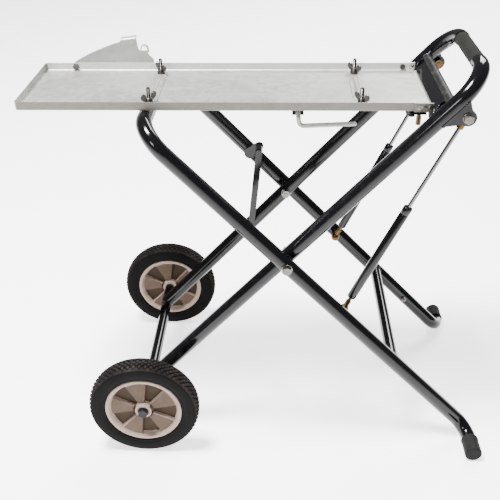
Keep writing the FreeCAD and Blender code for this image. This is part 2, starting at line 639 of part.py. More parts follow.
def wheels():
    m, w = -wheel_middle, tyre_width / 2
    tyre = ring_section([(rim_radius, m - w + 3), (rim_radius + 9, m - w), (wheel_radius - 20, m - w - 0.5),
                         (wheel_radius - 8, m - w + 2), (wheel_radius - 1.5, m - w + 8),
                         (wheel_radius, m - 8), (wheel_radius, m + 8),
                         (wheel_radius - 1.5, m + w - 8), (wheel_radius - 8, m + w - 2),
                         (wheel_radius - 20, m + w + 0.5), (rim_radius + 9, m + w), (rim_radius, m + w - 3)])
    face = m - w
    rim = ring_section([(hub_bore, m - hub_half), (24, m - hub_half),
                        (26, m - w + 9), (rim_radius - 9, m - w + 9),
                        (rim_radius - 6, m - w + 2), (rim_radius, m - w + 2), (rim_radius, m + w - 2),
                        (rim_radius - 6, m + w - 2), (rim_radius - 9, m + w - 9), (26, m + w - 9),
                        (24, m + hub_half), (hub_bore, m + hub_half)])
    for i in range(lobes):
        step = 2 * pi / lobes
        start = i * step + radians(28.5)

        def spot(radius, angle):
            return Vector(axle.x + radius * cos(angle), face + 3.0, axle.z + radius * sin(angle))

        half = step * 0.27
        wedge = Part.Wire([
            Part.Arc(spot(27, start - half), spot(27, start), spot(27, start + half)).toShape(),
            Part.LineSegment(spot(27, start + half), spot(73, start + half)).toShape(),
            Part.Arc(spot(73, start + half), spot(73, start), spot(73, start - half)).toShape(),
            Part.LineSegment(spot(73, start - half), spot(27, start - half)).toShape()])
        block = Part.Face(wedge).extrude(Vector(0, 6.5, 0))
        rim = rim.fuse(block)
    rim = rim.removeSplitter()
    bush = cross_pipe(axle, hub_bore, axle_radius + fit, m - hub_half, m + hub_half)
    save("tyre_near", tyre)
    save("tyre_far", far_side(tyre))
    save("wheel_rim_near", rim)
    save("wheel_rim_far", far_side(rim))
    save("wheel_bush_near", bush)
    save("wheel_bush_far", far_side(bush))
    end = wheel_middle + hub_half + 7.5
    save("axle_rod", cross_rod(axle, axle_radius, -end, end))
    inner = cross_pipe(axle, 12.0, axle_radius, -wheel_middle + hub_half + 0.4, -axle_tube_end)
    hub_face = -wheel_middle - hub_half
    outer = cross_pipe(axle, 12.0, axle_radius, hub_face - 0.4, hub_face - 2.4)
    save("axle_washers", Part.makeCompound([both_sides(inner), both_sides(outer)]))
    cap = cross_rod(axle, 10.0, -end - 1.5, -wheel_middle - hub_half - 2.4)
    cap = cap.cut(cross_rod(axle, axle_radius, -end, -end + 10))
    save("axle_end_caps", both_sides(cap))


handle_frame()
handle_grip()
pivot_hardware()
cross_bars()
hinge_bracket()
strut_ears()
stay_hardware()
leg_frame()
foot_caps()
leg_small_parts()
tray()
hinge_leaves()
clamps()
latch()
release_lever()
stop_plate()
gas_struts()
wheels()
print("pivot x %.2f hinge %.2f %.2f tray z %.2f axle %.2f %.2f"
      % (pivot_x, hinge_x, hinge_z, tray_z, axle.x, axle.z))
print("strut low %.2f %.2f top %.2f %.2f" % (strut_low.x, strut_low.z, strut_top.x, strut_top.z))
print("stay top %.2f %.2f low %.2f %.2f" % (stay_top.x, stay_top.z, stay_low.x, stay_low.z))
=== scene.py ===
import json
from math import cos, hypot, pi, radians, sin, sqrt, tan

import bmesh
import bpy
from mathutils import Matrix, Vector, noise


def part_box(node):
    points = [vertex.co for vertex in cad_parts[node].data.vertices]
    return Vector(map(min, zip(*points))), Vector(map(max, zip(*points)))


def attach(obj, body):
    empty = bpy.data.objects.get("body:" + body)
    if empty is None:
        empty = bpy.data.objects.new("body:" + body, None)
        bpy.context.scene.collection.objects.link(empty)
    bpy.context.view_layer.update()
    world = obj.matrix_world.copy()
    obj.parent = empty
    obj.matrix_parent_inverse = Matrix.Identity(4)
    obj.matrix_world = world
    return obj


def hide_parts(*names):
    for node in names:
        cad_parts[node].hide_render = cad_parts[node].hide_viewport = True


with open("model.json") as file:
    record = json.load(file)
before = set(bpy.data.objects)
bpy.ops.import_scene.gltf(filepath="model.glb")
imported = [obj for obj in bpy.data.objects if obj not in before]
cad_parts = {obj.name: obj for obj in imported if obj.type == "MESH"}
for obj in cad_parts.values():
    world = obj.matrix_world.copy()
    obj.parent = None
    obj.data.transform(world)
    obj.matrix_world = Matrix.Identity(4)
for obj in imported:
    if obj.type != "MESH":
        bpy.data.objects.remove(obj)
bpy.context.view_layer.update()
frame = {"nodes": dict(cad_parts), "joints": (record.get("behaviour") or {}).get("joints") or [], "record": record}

print("frame loaded:", len(frame["nodes"]), "nodes")

# The stand folds about the pivot. Its joints give every place that the pieces need.
jointPlace = {joint["name"]: Vector(joint["pos_m"]) for joint in frame["joints"] if "pos_m" in joint}
pivot = jointPlace["fold"]
axle = Vector((jointPlace["wheel_spin_near"].x, 0, jointPlace["wheel_spin_near"].z))
trayHinge = jointPlace["tray_tilt"]
mm = 0.001
acrossStand = Vector((0, 1, 0))
upward = Vector((0, 0, 1))

tubeRadius = 15.9 * mm
footRise = 18.4 * mm  # the foot tube's middle above the floor
spacerGap = 0.3 * mm  # between a pivot spacer and its leg tube

handleLine = pivot - axle
handleLine.y = 0
handleLine.normalize()
handleUp = Vector((-handleLine.z, 0, handleLine.x))
footLow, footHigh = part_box("foot_caps")
footPlace = Vector(((footLow.x + footHigh.x) / 2, 0, footRise))
legLine = footPlace - pivot
legLine.y = 0
legLine.normalize()
legUp = Vector((-legLine.z, 0, legLine.x))
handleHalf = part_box("handle_frame_tube")[1].y - tubeRadius
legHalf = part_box("pivot_spacers")[1].y + spacerGap + tubeRadius


def boxMiddle(node):
    low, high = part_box(node)
    return (Vector(low) + Vector(high)) / 2


def onHandle(along, above=0.0, y=0.0):
    # a point along the handle frame from the pivot, and above its middle line
    return pivot + handleLine * along + handleUp * above + acrossStand * (y - pivot.y)


def makePiece(name, mesh, material, body, nodes=(), smoothAngle=35):
    piece = bpy.data.objects.new(name, mesh)
    bpy.context.scene.collection.objects.link(piece)
    mesh.materials.clear()
    mesh.materials.append(material)
    for face in mesh.polygons:
        face.use_smooth = True
    if smoothAngle:
        mesh.set_sharp_from_angle(angle=radians(smoothAngle))
    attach(piece, body)
    if nodes:
        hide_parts(*nodes)
    return piece


def meshFrom(name, points, faces):
    mesh = bpy.data.meshes.new(name)
    mesh.from_pydata([tuple(point) for point in points], [], faces)
    mesh.validate()
    mesh.update()
    return mesh


def gridFaces(rows, columns, closeRows=False, closeColumns=True, start=0):
    faces = []
    for i in range(rows if closeRows else rows - 1):
        for j in range(columns if closeColumns else columns - 1):
            a = start + i * columns + j
            b = start + i * columns + (j + 1) % columns
            c = start + ((i + 1) % rows) * columns + (j + 1) % columns
            d = start + ((i + 1) % rows) * columns + j
            faces.append((a, b, c, d))
    return faces


def turned(name, profile, place, axis, sides=64, closed=False):
    # a lathe shape: the profile's points are (radius, distance along the axis)
    axis = axis.normalized()
    side = axis.orthogonal().normalized()
    other = axis.cross(side)
    points = []
    for radius, along in profile:
        for j in range(sides):
            angle = 2 * pi * j / sides
            points.append(place + axis * along + (side * cos(angle) + other * sin(angle)) * radius)
    faces = gridFaces(len(profile), sides, closeRows=closed)
    if not closed:
        faces.append(tuple(reversed(range(sides))))
        last = (len(profile) - 1) * sides
        faces.append(tuple(last + j for j in range(sides)))
    return meshFrom(name, points, faces)


def fixNormals(mesh):
    work = bmesh.new()
    work.from_mesh(mesh)
    bmesh.ops.remove_doubles(work, verts=work.verts, dist=1e-6)
    bmesh.ops.recalc_face_normals(work, faces=work.faces)
    work.to_mesh(mesh)
    work.free()
    return mesh


def joinMeshes(name, meshes):
    work = bmesh.new()
    for mesh in meshes:
        work.from_mesh(mesh)
        bpy.data.meshes.remove(mesh)
    whole = bpy.data.meshes.new(name)
    work.to_mesh(whole)
    work.free()
    return whole


def roundedPath(corners, bend, steps):
    # straight runs joined by arcs of one bend radius
    path = [corners[0]]
    for before, corner, after in zip(corners, corners[1:], corners[2:]):
        back = (before - corner).normalized()
        ahead = (after - corner).normalized()
        half = back.angle(ahead) / 2
        middle = corner + (back + ahead).normalized() * (bend / sin(half))
        first = corner + back * (bend / tan(half)) - middle
        axis = first.cross(corner + ahead * (bend / tan(half)) - middle).normalized()
        sweep = pi - 2 * half
        path += [middle + Matrix.Rotation(sweep * i / steps, 3, axis) @ first for i in range(steps + 1)]
    path.append(corners[-1])
    return path


def swept(name, path, radii, sides=24, closed=False):
    # a round bar along a path, with a radius for each point
    points = []
    count = len(path)
    normal = None
    for i, place in enumerate(path):
        before = path[i - 1] if i or closed else place
        after = path[(i + 1) % count] if i < count - 1 or closed else place
        heading = (after - before).normalized()
        normal = heading.orthogonal() if normal is None else normal - heading * heading.dot(normal)
        normal.normalize()
        other = heading.cross(normal)
        for j in range(sides):
            angle = 2 * pi * j / sides
            points.append(place + (normal * cos(angle) + other * sin(angle)) * radii[i])
    faces = gridFaces(count, sides, closeRows=closed)
    if not closed:
        faces.append(tuple(reversed(range(sides))))
        faces.append(tuple((count - 1) * sides + j for j in range(sides)))
    return meshFrom(name, points, faces)


def prism(name, outline, thickness):
    # a flat plate: outline points in order, thickness as a vector
    count = len(outline)
    points = list(outline) + [point + thickness for point in outline]
    faces = [tuple(reversed(range(count))), tuple(range(count, 2 * count))]
    faces += [(i, (i + 1) % count, count + (i + 1) % count, count + i) for i in range(count)]
    return fixNormals(meshFrom(name, points, faces))


def bentStrip(name, line, thick, width):
    # a strip of sheet: its middle line, the thickness, and the way its width runs
    across = width.normalized()
    outer, inner = [], []
    for i, place in enumerate(line):
        heading = (line[min(i + 1, len(line) - 1)] - line[max(i - 1, 0)]).normalized()
        out = heading.cross(across)
        outer.append(place + out * thick / 2)
        inner.append(place - out * thick / 2)
    return prism(name, outer + inner[::-1], width)


def rounded(piece, width, angle):
    bevel = piece.modifiers.new("edges", "BEVEL")
    bevel.width = width
    bevel.segments = 2
    bevel.limit_method = "ANGLE"
    bevel.angle_limit = radians(angle)


# Each finish has its own function. Uniform values sit on the shader itself.

def startFinish(name, metallic=0.0, specular=0.5):
    material = bpy.data.materials.new(name)
    material.use_nodes = True
    tree = material.node_tree
    shader = tree.nodes["Principled BSDF"]
    shader.inputs["Metallic"].default_value = metallic
    shader.inputs["Specular IOR Level"].default_value = specular
    place = tree.nodes.new("ShaderNodeTexCoord").outputs["Object"]
    return material, tree, shader, place


def addNoise(tree, place, scale, detail=4.0, roughness=0.55, stretch=None):
    if stretch:
        mapping = tree.nodes.new("ShaderNodeMapping")
        mapping.inputs["Scale"].default_value = stretch
        tree.links.new(place, mapping.inputs["Vector"])
        place = mapping.outputs["Vector"]
    node = tree.nodes.new("ShaderNodeTexNoise")
    node.inputs["Scale"].default_value = scale
    node.inputs["Detail"].default_value = detail
    node.inputs["Roughness"].default_value = roughness
    tree.links.new(place, node.inputs["Vector"])
    return node.outputs["Fac"]


def addCells(tree, place, scale):
    node = tree.nodes.new("ShaderNodeTexVoronoi")
    node.inputs["Scale"].default_value = scale
    tree.links.new(place, node.inputs["Vector"])
    return node


def addRange(tree, value, low, high, fromLow=0.0, fromHigh=1.0):
    node = tree.nodes.new("ShaderNodeMapRange")
    node.inputs["From Min"].default_value = fromLow
    node.inputs["From Max"].default_value = fromHigh
    node.inputs["To Min"].default_value = low
    node.inputs["To Max"].default_value = high
    tree.links.new(value, node.inputs["Value"])
    return node.outputs["Result"]


def addBlend(tree, factor, first, second):
    node = tree.nodes.new("ShaderNodeMix")
    node.data_type = "RGBA"
    for socket, value in ((node.inputs[0], factor), (node.inputs[6], first), (node.inputs[7], second)):
        if isinstance(value, (int, float)):
            socket.default_value = value
        elif isinstance(value, tuple):
            socket.default_value = (*value, 1.0)
        else:
            tree.links.new(value, socket)
    return node.outputs[2]


def addMath(tree, operation, first, second):
    node = tree.nodes.new("ShaderNodeMath")
    node.operation = operation
    for socket, value in zip(node.inputs, (first, second)):
        if isinstance(value, (int, float)):
            socket.default_value = value
        else:
            tree.links.new(value, socket)
    return node.outputs[0]


def addBump(tree, shader, height, strength, depth, before=None):
    node = tree.nodes.new("ShaderNodeBump")
    node.inputs["Strength"].default_value = strength
    node.inputs["Distance"].default_value = depth
    tree.links.new(height, node.inputs["Height"])
    if before:
        tree.links.new(before, node.inputs["Normal"])
    tree.links.new(node.outputs["Normal"], shader.inputs["Normal"])
    return node.outputs["Normal"]


def edgeWear(tree, place, amount):
    # bare metal on sharp edges, broken up by noise
    corners = tree.nodes.new("ShaderNodeNewGeometry").outputs["Pointiness"]
    sharp = addRange(tree, corners, 0.0, 1.0, 0.53, 0.60)
    patchy = addRange(tree, addNoise(tree, place, 90.0, 6.0), 0.0, 1.0, 0.52, 0.62)
    return addMath(tree, "MULTIPLY", addMath(tree, "MULTIPLY", sharp, patchy), amount)


glossBlackLook = {"colour": (0.0022, 0.0022, 0.0026), "dust": (0.0042, 0.0040, 0.0038),
                  "bare": (0.03, 0.03, 0.032), "wear": 0.12, "shine": (0.08, 0.14)}


def glossBlack(name="gloss black paint"):
    look = glossBlackLook
    material, tree, shader, place = startFinish(name, specular=0.27)
    cloud = addNoise(tree, place, 9.0, 5.0)
    fine = addNoise(tree, place, 70.0, 4.0)
    colour = addBlend(tree, addRange(tree, cloud, 0.0, 0.2, 0.55, 0.85), look["colour"], look["dust"])
    colour = addBlend(tree, edgeWear(tree, place, look["wear"]), colour, look["bare"])
    tree.links.new(colour, shader.inputs["Base Color"])
    tree.links.new(addRange(tree, fine, *look["shine"]), shader.inputs["Roughness"])
    addBump(tree, shader, addNoise(tree, place, 180.0, 2.0), 0.02, 0.0005)
    return material


satinGreyLook = {"colour": (0.0048, 0.0048, 0.0046), "dust": (0.0080, 0.0079, 0.0075),
                 "bare": (0.08, 0.08, 0.08), "wear": 0.2, "shine": (0.42, 0.58)}


def satinGrey():
    look = satinGreyLook
    material, tree, shader, place = startFinish("satin grey paint", specular=0.12)
    cloud = addNoise(tree, place, 14.0, 5.0)
    colour = addBlend(tree, addRange(tree, cloud, 0.0, 1.0, 0.35, 0.7), look["colour"], look["dust"])
    colour = addBlend(tree, edgeWear(tree, place, look["wear"]), colour, look["bare"])
    tree.links.new(colour, shader.inputs["Base Color"])
    tree.links.new(addRange(tree, cloud, *look["shine"]), shader.inputs["Roughness"])
    addBump(tree, shader, addNoise(tree, place, 500.0, 3.0), 0.12, 0.0005)
    return material


foamLook = {"colour": (0.0040, 0.0040, 0.0037), "pale": (0.0064, 0.0063, 0.0058),
            "pore": (0.0032, 0.0032, 0.0031), "shine": (0.82, 0.95)}


def foamRubber():
    look = foamLook
    material, tree, shader, place = startFinish("foam rubber", specular=0.06)
    shader.inputs["Sheen Weight"].default_value = 0.015
    shader.inputs["Sheen Roughness"].default_value = 0.6
    cloud = addNoise(tree, place, 22.0, 6.0)
    pores = addCells(tree, place, 620.0)
    colour = addBlend(tree, addRange(tree, cloud, 0.0, 1.0, 0.3, 0.7), look["colour"], look["pale"])
    dark = addRange(tree, pores.outputs["Distance"], 0.55, 0.0, 0.0, 0.38)
    colour = addBlend(tree, dark, colour, look["pore"])
    tree.links.new(colour, shader.inputs["Base Color"])
    tree.links.new(addRange(tree, cloud, *look["shine"]), shader.inputs["Roughness"])
    first = addBump(tree, shader, pores.outputs["Distance"], 0.5, 0.0006)
    addBump(tree, shader, addNoise(tree, place, 55.0, 4.0), 0.3, 0.0012, before=first)
    return material


# the last two colours are painted shade for the near lip's outer face and painted light for the far lip's inner
# face
galvanisedLook = {"base": (0.262, 0.262, 0.247), "spangle": (0.365, 0.370, 0.352),
                  "stain": (0.175, 0.168, 0.150), "lipAt": 118.3 * mm,
                  "nearLipShade": (0.105, 0.092, 0.078), "highlit": (0.72, 0.725, 0.70)}


def galvanisedSheet(name="galvanised sheet", shade=1.0, lips=False):
    look = galvanisedLook
    material, tree, shader, place = startFinish(name, metallic=0.55)
    base, spangle, stain = [tuple(c * shade for c in look[key]) for key in ("base", "spangle", "stain")]
    crystals = addCells(tree, place, 105.0)
    cloud = addNoise(tree, place, 7.0, 6.0, 0.6)
    rolled = addNoise(tree, place, 55.0, 3.0, 0.5, stretch=(0.06, 1.0, 1.0))
    tone = tree.nodes.new("ShaderNodeSeparateColor")
    tree.links.new(crystals.outputs["Color"], tone.inputs["Color"])
    colour = addBlend(tree, addRange(tree, tone.outputs["Red"], 0.0, 0.55), base, spangle)
    colour = addBlend(tree, addRange(tree, cloud, 0.0, 0.85, 0.46, 0.72), colour, stain)
    colour = addBlend(tree, addRange(tree, rolled, 0.0, 0.45, 0.5, 0.72), colour, spangle)
    if lips:
        # painted shade on the near lip's outer face, and painted light on the far lip's inner face
        parts = tree.nodes.new("ShaderNodeSeparateXYZ")
        tree.links.new(place, parts.inputs["Vector"])
        across = parts.outputs["Y"]
        lipAt = look["lipAt"]
        nearLipShade = addRange(tree, across, 0.88, 0.0, -lipAt, -lipAt + 1.0 * mm)
        colour = addBlend(tree, nearLipShade, colour, look["nearLipShade"])
        highlit = addRange(tree, across, 0.0, 0.9, lipAt - 2.4 * mm, lipAt - 1.8 * mm)
        colour = addBlend(tree, highlit, colour, look["highlit"])
    tree.links.new(colour, shader.inputs["Base Color"])
    byCrystal = addRange(tree, tone.outputs["Green"], 0.36, 0.46)
    rough = addMath(tree, "ADD", byCrystal, addRange(tree, cloud, -0.05, 0.08))
    tree.links.new(rough, shader.inputs["Roughness"])
    first = addBump(tree, shader, tone.outputs["Red"], 0.06, 0.0004)
    addBump(tree, shader, rolled, 0.05, 0.0006, before=first)
    return material


brightZincLook = {"colour": (0.130, 0.122, 0.115), "dull": (0.085, 0.079, 0.073),
                  "bare": (0.5, 0.5, 0.5), "wear": 0.4, "shine": (0.22, 0.40)}


def brightZinc():
    look = brightZincLook
    material, tree, shader, place = startFinish("bright zinc plate", metallic=1.0)
    cloud = addNoise(tree, place, 60.0, 5.0)
    colour = addBlend(tree, addRange(tree, cloud, 0.0, 1.0, 0.35, 0.7), look["colour"], look["dull"])
    colour = addBlend(tree, edgeWear(tree, place, look["wear"]), colour, look["bare"])
    tree.links.new(colour, shader.inputs["Base Color"])
    tree.links.new(addRange(tree, cloud, *look["shine"]), shader.inputs["Roughness"])
    addBump(tree, shader, addNoise(tree, place, 700.0, 2.0), 0.08, 0.0003)
    return material


yellowZincLook = {"colour": (0.110, 0.062, 0.022), "dull": (0.070, 0.042, 0.018),
                  "tint": (0.075, 0.058, 0.044), "shine": (0.25, 0.42)}


def yellowZinc():
    look = yellowZincLook
    material, tree, shader, place = startFinish("yellow zinc plate", metallic=1.0)
    cloud = addNoise(tree, place, 80.0, 4.0)
    tint = addNoise(tree, place, 30.0, 2.0)
    colour = addBlend(tree, addRange(tree, cloud, 0.0, 1.0, 0.3, 0.7), look["colour"], look["dull"])
    colour = addBlend(tree, addRange(tree, tint, 0.0, 0.5, 0.5, 0.75), colour, look["tint"])
    tree.links.new(colour, shader.inputs["Base Color"])
    tree.links.new(addRange(tree, cloud, *look["shine"]), shader.inputs["Roughness"])
    addBump(tree, shader, addNoise(tree, place, 600.0, 2.0), 0.08, 0.0003)
    return material


rodLook = {"colour": (0.150, 0.147, 0.145), "dull": (0.105, 0.103, 0.101), "shine": (0.10, 0.20)}


def groundRod():
    look = rodLook
    material, tree, shader, place = startFinish("ground chromed rod", metallic=1.0)
    cloud = addNoise(tree, place, 40.0, 4.0)
    colour = addBlend(tree, addRange(tree, cloud, 0.0, 1.0), look["colour"], look["dull"])
    tree.links.new(colour, shader.inputs["Base Color"])
    tree.links.new(addRange(tree, cloud, *look["shine"]), shader.inputs["Roughness"])
    addBump(tree, shader, addNoise(tree, place, 900.0, 2.0), 0.05, 0.0002)
    return material


darkSteelLook = {"colour": (0.006, 0.0057, 0.0055), "pale": (0.014, 0.0132, 0.0125), "shine": (0.3, 0.5)}


def darkSteel():
    look = darkSteelLook
    material, tree, shader, place = startFinish("dark steel", metallic=0.5, specular=0.2)
    cloud = addNoise(tree, place, 70.0, 5.0)
    colour = addBlend(tree, addRange(tree, cloud, 0.0, 1.0, 0.3, 0.7), look["colour"], look["pale"])
    tree.links.new(colour, shader.inputs["Base Color"])
    tree.links.new(addRange(tree, cloud, *look["shine"]), shader.inputs["Roughness"])
    addBump(tree, shader, addNoise(tree, place, 500.0, 3.0), 0.15, 0.0004)
    return material


def softRubber(name, dark, light, rough, grain):
    material, tree, shader, place = startFinish(name, specular=0.05)
    cloud = addNoise(tree, place, 16.0, 6.0, 0.6)
    dust = addNoise(tree, place, 120.0, 5.0, 0.65)
    clouds = addRange(tree, cloud, 0.0, 1.0, 0.35, 0.7)
    mixed = addMath(tree, "MULTIPLY", clouds, addRange(tree, dust, 0.2, 1.0, 0.35, 0.65))
    tree.links.new(addBlend(tree, mixed, dark, light), shader.inputs["Base Color"])
    tree.links.new(addRange(tree, dust, *rough), shader.inputs["Roughness"])
    addBump(tree, shader, addNoise(tree, place, grain, 3.0), 0.2, 0.0005)
    return material


def mouldedPlastic(name, light, dark, streak):
    material, tree, shader, place = startFinish(name, specular=0.10)
    cloud = addNoise(tree, place, 18.0, 5.0)
    flow = addNoise(tree, place, 45.0, 4.0, 0.6)
    colour = addBlend(tree, addRange(tree, cloud, 0.0, 1.0, 0.3, 0.7), light, dark)
    colour = addBlend(tree, addRange(tree, flow, 0.0, 0.4, 0.5, 0.75), colour, streak)
    tree.links.new(colour, shader.inputs["Base Color"])
    tree.links.new(addRange(tree, flow, 0.50, 0.66), shader.inputs["Roughness"])
    addBump(tree, shader, addNoise(tree, place, 420.0, 3.0), 0.12, 0.0005)
    return material


blackPaint = glossBlack()
strutPaint = glossBlack("gloss black strut paint")
greyPaint = satinGrey()
foam = foamRubber()
galvanised = galvanisedSheet()
traySheet = galvanisedSheet("galvanised tray sheet", 1.0, True)
# the latch sheet is a lighter copy of the galvanised sheet: painted light on its upright face
latchSheet = galvanisedSheet("galvanised latch sheet", 1.25)
strapZinc = galvanisedSheet("galvanised strap", 0.92)
zinc = brightZinc()
goldZinc = yellowZinc()
rodSteel = groundRod()
blackSteel = darkSteel()

# each rubber: dark and light colours, roughness from and to, and how fine its grain is
rubberLook = {
    "tyre rubber": ((0.0010, 0.0008, 0.0008), (0.0024, 0.0020, 0.0018), (0.5, 0.7), 380.0),
    # the tread rubber is paler: partly dust on the block tops, partly a painted highlight
    "tyre tread rubber": ((0.0075, 0.0062, 0.0059), (0.030, 0.0262, 0.0245), (0.75, 0.9), 300.0),
    "foot cap rubber": ((0.0090, 0.0090, 0.0088), (0.017, 0.017, 0.0165), (0.5, 0.7), 420.0),
    "black nylon": ((0.0050, 0.0050, 0.0050), (0.012, 0.012, 0.012), (0.4, 0.55), 500.0)}
tyreRubber, treadRubber, capRubber, nylon = [softRubber(name, *look) for name, look in rubberLook.items()]

# each plastic: its light, dark and streak colours
plasticLook = {
    "tan grey moulded plastic": ((0.080, 0.053, 0.037), (0.064, 0.042, 0.029), (0.110, 0.080, 0.060)),
    # painted light: a lighter copy for the rim's lip, boss and ledges that face up
    "clean lip plastic": ((0.30, 0.225, 0.185), (0.24, 0.178, 0.145), (0.42, 0.34, 0.295)),
    # painted shade: a darker copy for the rim's low sectors between the lobes
    "dusty low plastic": ((0.036, 0.0215, 0.0115), (0.024, 0.0142, 0.0076), (0.052, 0.034, 0.020))}
rimPlastic, lipPlastic, lowPlastic = [mouldedPlastic(name, *look) for name, look in plasticLook.items()]
print("finishes made")

finishOfSlot = {
    "black_paint": blackPaint, "grey_paint": greyPaint, "strut_paint": strutPaint, "foam": foam,
    "cap_rubber": capRubber, "dark_steel": blackSteel, "black_plastic": nylon, "rod_chrome": rodSteel,
    "yellow_zinc": goldZinc, "bright_zinc": zinc, "galvanised": galvanised, "tyre_rubber": tyreRubber,
    "rim_plastic": rimPlastic}
slotOfNode = {part["node"]: part["material_slot"] for part in frame["record"]["subparts"]}
for node, piece in frame["nodes"].items():
    piece.data.materials.clear()
    piece.data.materials.append(finishOfSlot[slotOfNode[node]])
# these nodes have their own finish in place of their slot's usual one
finishOfNode = {"tray_pan": traySheet, "hinge_leaf_channel": traySheet, "axle_end_caps": blackSteel,
                "axle_washers": blackSteel, "stay_post": blackPaint, "stay_pin": blackPaint}
for node, finish in finishOfNode.items():
    frame["nodes"][node].data.materials[0] = finish
print("CAD nodes finished")


tyreLook = {"treadAcross": 3, "treadAround": 60, "grooveDepth": 2.8 * mm, "grooveShare": 0.34,
            "sides": 600, "crownSteps": 26, "crownDrop": 3.6 * mm, "crownHalf": 0.8 * 20.8 * mm,
            "treadSkin": 1.6 * mm}


def tyreMesh(name, middle):
    low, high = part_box("tyre_near")
    outer = (high.z - low.z) / 2
    rimLow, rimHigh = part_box("wheel_rim_near")
    inner = (rimHigh.z - rimLow.z) / 2 + 0.1 * mm
    half = (high.y - low.y) / 2 - 0.2 * mm
    crown = half * 0.80
    # profile from the near bead round the crown to the far bead: (radius, across, tread share)
    profile = [(inner, -half * 0.80, 0), (inner + 2 * mm, -half * 0.93, 0), (inner + 5 * mm, -half * 0.97, 0),
               (inner + 6.2 * mm, -half * 0.95, 0), (inner + 7.4 * mm, -half * 0.97, 0),
               (inner + 14 * mm, -half, 0), (inner + 20 * mm, -half, 0), (outer - 12 * mm, -half * 0.99, 0),
               (outer - 9.0 * mm, -half * 0.97, 0), (outer - 8.4 * mm, -half * 0.93, 0),
               (outer - 7.6 * mm, -half * 0.95, 0), (outer - 5.0 * mm, -half * 0.90, 0)]
    mirrored = [(r, -a, t) for r, a, t in reversed(profile)]
    steps = tyreLook["crownSteps"]
    for i in range(steps + 1):
        across = -crown + 2 * crown * i / steps
        drop = tyreLook["crownDrop"] * abs(across / crown) ** 3
        profile.append((outer - 0.1 * mm - drop, across, 1))
    profile += mirrored
    points = []
    count = tyreLook["sides"]
    for radius, across, tread in profile:
        for j in range(count):
            angle = 2 * pi * j / count
            drop = 0.0
            if tread:
                u = tyreLook["treadAround"] * j / count
                v = tyreLook["treadAcross"] * (across / crown + 1) / 2
                # two sets of slanting grooves cross and leave diamond blocks
                cuts = [abs((u + side * v) % 1.0 - 0.5) * 2 for side in (-1, 1)]
                edge = max(cuts)
                share = tyreLook["grooveShare"]
                depth = min(max((edge - (1 - share)) / (share * 0.45), 0.0), 1.0)
                drop = tyreLook["grooveDepth"] * depth
            spread = radius - drop
            points.append((axle.x + spread * cos(angle), middle + across, axle.z + spread * sin(angle)))
    faces = gridFaces(len(profile), count, closeRows=True)
    return fixNormals(meshFrom(name, points, faces))


for side, middle in (("near", jointPlace["wheel_spin_near"].y), ("far", jointPlace["wheel_spin_far"].y)):
    mesh = tyreMesh("treaded tyre " + side, middle)
    makePiece("treaded_tyre_" + side, mesh, tyreRubber, "wheel_" + side, ["tyre_" + side], 40)
    # the outer skin of the crown takes the tread's paler rubber: partly dust, partly a painted highlight, with the
    # grooves left dark as painted shade
    mesh.materials.append(treadRubber)
    reach = max(hypot(v.co.x - axle.x, v.co.z - axle.z) for v in mesh.vertices)
    for face in mesh.polygons:
        middleRadius = hypot(face.center.x - axle.x, face.center.z - axle.z)
        drop = tyreLook["crownDrop"] * abs((face.center.y - middle) / tyreLook["crownHalf"]) ** 3
        if middleRadius > reach - drop - tyreLook["treadSkin"]:
            face.material_index = 1
print("tyres made")


# lipMargin, lowFrom, lowTo, lowRise and the last value mark where the rim's painted shade and painted light fall
rimLook = {"lobes": 5, "firstLobe": 100.5, "topHalf": 17.6, "footHalf": 20.0, "lobeRise": 8.0 * mm,
           "panelDepth": 12.0 * mm, "lipWidth": 6.5 * mm, "lipSlope": 5.5 * mm, "bossRadius": 18.0 * mm,
           "lipInset": 2.2 * mm, "lipMargin": 0.5 * mm, "lowFrom": 21 * mm, "lowTo": 72 * mm,
           "lowRise": 1.2 * mm, "litFacing": 0.6}


def smoothStep(value, low, high):
    t = min(max((value - low) / (high - low), 0.0), 1.0)
    return t * t * (3 - 2 * t)


def rimAngles():
    # angles crowd at the lobes' flanks
    look = rimLook
    near = [0, 5, 10, 14, look["topHalf"] - 0.9, look["topHalf"], look["topHalf"] + 0.8,
            look["footHalf"] - 0.8, look["footHalf"], look["footHalf"] + 0.9, 24, 28, 32]
    whole = [-a for a in reversed(near[1:])] + near + [36]
    angles = []
    for k in range(look["lobes"]):
        angles += [look["firstLobe"] + 360 / look["lobes"] * k + a for a in whole]
    return [radians(a) for a in angles], [abs(a) for _ in range(look["lobes"]) for a in whole]


